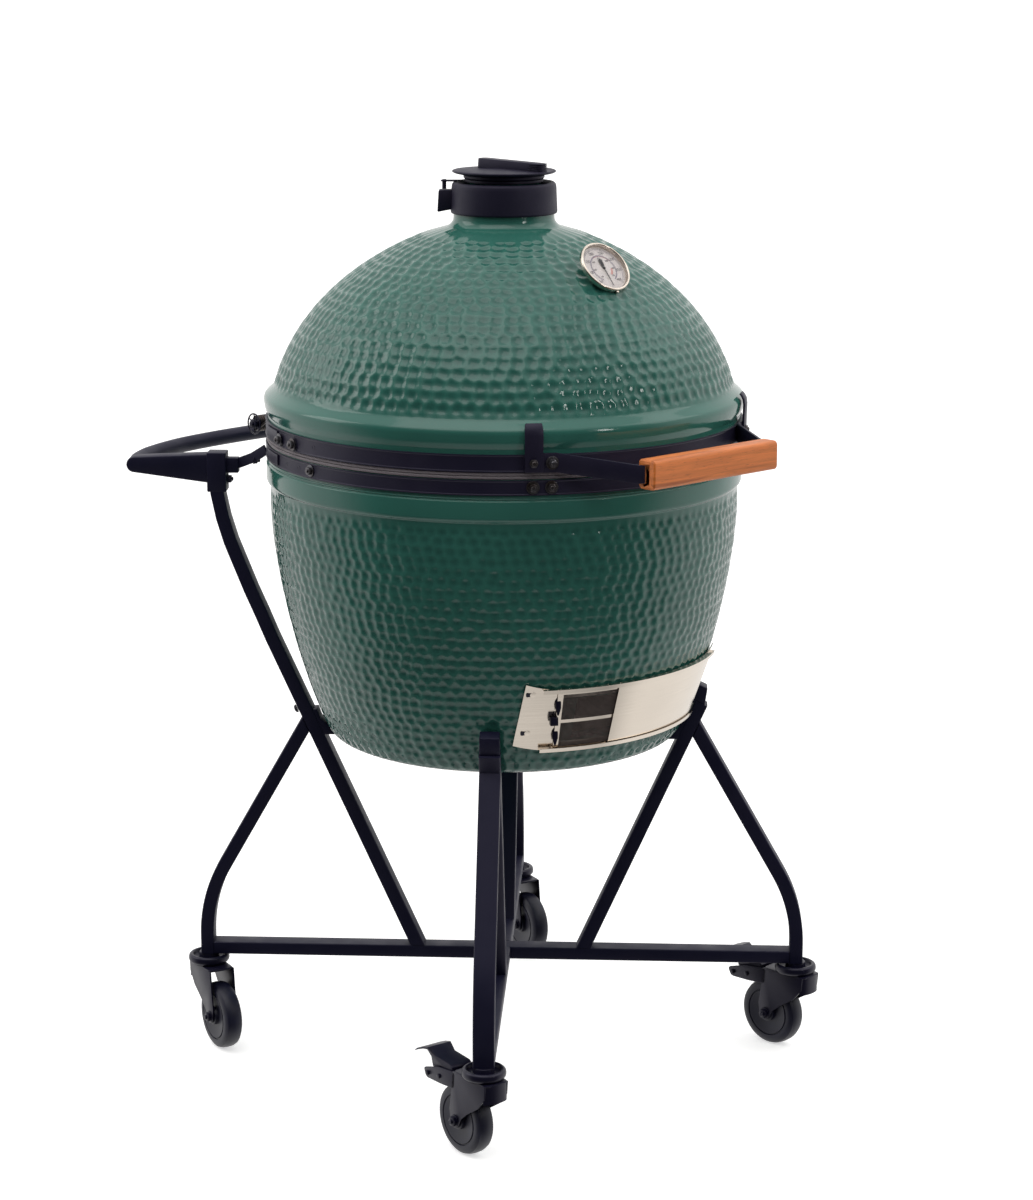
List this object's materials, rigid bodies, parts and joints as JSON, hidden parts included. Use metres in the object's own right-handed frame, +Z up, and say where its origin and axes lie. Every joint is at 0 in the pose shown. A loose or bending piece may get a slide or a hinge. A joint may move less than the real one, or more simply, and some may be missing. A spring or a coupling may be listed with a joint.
{
  "type": "kamado grill",
  "caption": "Egg-shaped ceramic charcoal grill with a hinged dimpled lid, wooden lid handle, sliding draft door and chimney cap, on a wheeled steel stand with a push handle.",
  "frame": {"origin": "on the floor, under the middle of the grill's bounding box", "axes": "+Z up from the floor; -Y is the front with the lid handle and draft door; +X is the right of someone facing the front from behind the grill, so the hinge and push handle are at +Y"},
  "size_m": [0.7916, 0.9205, 1.3278],
  "materials": {
    "green_glaze": "glossy green glaze over a dimpled ceramic surface",
    "fire_clay": "unglazed fired clay, matt",
    "black_powder": "satin black powder coat on steel tube",
    "band_paint": "satin black paint on pressed steel",
    "felt": "grey-brown woven felt gasket",
    "cast_iron": "raw sand-cast iron",
    "stainless": "fine brushed stainless steel",
    "wood": "oiled orange-brown hardwood with straight grain",
    "cap_paint": "fine textured black-brown paint on cast aluminium",
    "clear_glass": "clear flat glass",
    "needle_paint": "black painted needle",
    "tyre": "hard black moulded tread",
    "caster_paint": "gloss black electrocoat on pressed steel",
    "spring_steel": "dark oiled spring steel"
  },
  "bodies": {
    "stand_and_base": {"base_shell": "green_glaze", "fire_box": "fire_clay", "fire_ring": "fire_clay", "fire_grate": "cast_iron", "lower_gasket": "felt", "lower_band": "band_paint", "hinge_lower_bracket": "band_paint", "hinge_pin": "caster_paint", "hinge_spring_left": "spring_steel", "hinge_spring_right": "spring_steel", "draft_frame": "stainless", "floor_rail_through": "black_powder", "floor_rail_front": "black_powder", "floor_rail_rear": "black_powder", "front_left_leg": "black_powder", "front_right_leg": "black_powder", "rear_left_leg": "black_powder", "rear_right_leg": "black_powder", "front_left_strut": "black_powder", "front_right_strut": "black_powder", "rear_left_upright": "black_powder", "rear_right_upright": "black_powder", "handle_arm_left": "black_powder", "handle_arm_right": "black_powder", "push_tube": "black_powder", "front_left_caster_head": "caster_paint", "front_right_caster_head": "caster_paint", "rear_left_caster_head": "caster_paint", "rear_right_caster_head": "caster_paint"},
    "lid": {"lid_shell": "green_glaze", "upper_gasket": "felt", "upper_band": "band_paint", "hinge_upper_bracket": "band_paint", "lid_handle_strap": "band_paint", "lid_handle_tab_left": "band_paint", "lid_handle_tab_right": "band_paint", "lid_handle_grip": "wood", "thermometer_case": "stainless", "thermometer_glass": "clear_glass", "cap_ring": "cap_paint"},
    "needle": {"thermometer_needle": "needle_paint"},
    "vent_plate": {"cap_vent_plate": "cap_paint"},
    "vent_dial": {"cap_dial": "cap_paint"},
    "grid": {"cooking_grid": "stainless"},
    "screen": {"draft_screen": "stainless"},
    "door": {"draft_door": "stainless"},
    "pedal_front_left": {"front_left_brake_pedal": "caster_paint"},
    "pedal_front_right": {"front_right_brake_pedal": "caster_paint"},
    "swivel_front_left": {"front_left_caster_fork": "caster_paint", "front_left_axle": "spring_steel"},
    "wheel_front_left": {"front_left_wheel": "tyre"},
    "swivel_front_right": {"front_right_caster_fork": "caster_paint", "front_right_axle": "spring_steel"},
    "wheel_front_right": {"front_right_wheel": "tyre"},
    "swivel_rear_left": {"rear_left_caster_fork": "caster_paint", "rear_left_axle": "spring_steel"},
    "wheel_rear_left": {"rear_left_wheel": "tyre"},
    "swivel_rear_right": {"rear_right_caster_fork": "caster_paint", "rear_right_axle": "spring_steel"},
    "wheel_rear_right": {"rear_right_wheel": "tyre"}
  },
  "joints": [
    {"name": "lid_hinge", "type": "hinge", "parent": "stand_and_base", "child": "lid", "pos_m": [0.0034, 0.3708, 0.9145], "axis": [-1, 0, 0], "range_deg": [0, 75], "deforming": ["hinge_spring_left", "hinge_spring_right"]},
    {"name": "needle_turn", "type": "hinge", "parent": "lid", "child": "needle", "pos_m": [0.0034, -0.23918, 1.1913], "axis": [0, -0.766, 0.6428], "range_deg": [0, 300]},
    {"name": "cap_swing", "type": "hinge", "parent": "lid", "child": "vent_plate", "pos_m": [-0.05952, 0.02365, 1.2964], "axis": [0, 0, 1], "range_deg": [0, 110]},
    {"name": "dial_turn", "type": "hinge", "parent": "vent_plate", "child": "vent_dial", "pos_m": [0.0034, -0.0332, 1.306], "axis": [0, 0, 1], "range_deg": [0, 45]},
    {"name": "grid_lift", "type": "slide", "parent": "stand_and_base", "child": "grid", "axis": [0, 0, 1], "range_m": [0, 0.012]},
    {"name": "draft_screen_slide", "type": "hinge", "parent": "stand_and_base", "child": "screen", "pos_m": [0.0034, -0.0332, 0.582], "axis": [0, 0, 1], "range_deg": [-8, 34]},
    {"name": "draft_door_slide", "type": "hinge", "parent": "stand_and_base", "child": "door", "pos_m": [0.0034, -0.0332, 0.582], "axis": [0, 0, 1], "range_deg": [-25, 6]},
    {"name": "front_left_swivel", "type": "hinge", "parent": "stand_and_base", "child": "swivel_front_left", "pos_m": [-0.3124, -0.3422, 0.118], "axis": [0, 0, 1], "continuous": true},
    {"name": "front_left_roll", "type": "hinge", "parent": "swivel_front_left", "child": "wheel_front_left", "pos_m": [-0.30868, -0.30137, 0.05], "axis": [-0.9959, 0.0906, 0], "continuous": true},
    {"name": "front_left_brake", "type": "hinge", "parent": "swivel_front_left", "child": "pedal_front_left", "pos_m": [-0.3066, -0.27846, 0.113], "axis": [-0.9959, 0.0906, 0], "range_deg": [0, 18]},
    {"name": "front_right_swivel", "type": "hinge", "parent": "stand_and_base", "child": "swivel_front_right", "pos_m": [0.3124, -0.3422, 0.118], "axis": [0, 0, 1], "continuous": true},
    {"name": "front_right_roll", "type": "hinge", "parent": "swivel_front_right", "child": "wheel_front_right", "pos_m": [0.30961, -0.30129, 0.05], "axis": [-0.9977, -0.068, 0], "continuous": true},
    {"name": "front_right_brake", "type": "hinge", "parent": "swivel_front_right", "child": "pedal_front_right", "pos_m": [0.30805, -0.27835, 0.113], "axis": [-0.9977, -0.068, 0], "range_deg": [0, 18]},
    {"name": "rear_left_swivel", "type": "hinge", "parent": "stand_and_base", "child": "swivel_rear_left", "pos_m": [-0.3124, 0.2826, 0.118], "axis": [0, 0, 1], "continuous": true},
    {"name": "rear_left_roll", "type": "hinge", "parent": "swivel_rear_left", "child": "wheel_rear_left", "pos_m": [-0.32099, 0.24251, 0.05], "axis": [0.9778, -0.2096, 0], "continuous": true},
    {"name": "rear_right_swivel", "type": "hinge", "parent": "stand_and_base", "child": "swivel_rear_right", "pos_m": [0.3124, 0.2826, 0.118], "axis": [0, 0, 1], "continuous": true},
    {"name": "rear_right_roll", "type": "hinge", "parent": "swivel_rear_right", "child": "wheel_rear_right", "pos_m": [0.30381, 0.24251, 0.05], "axis": [0.9778, -0.2096, 0], "continuous": true}
  ]
}
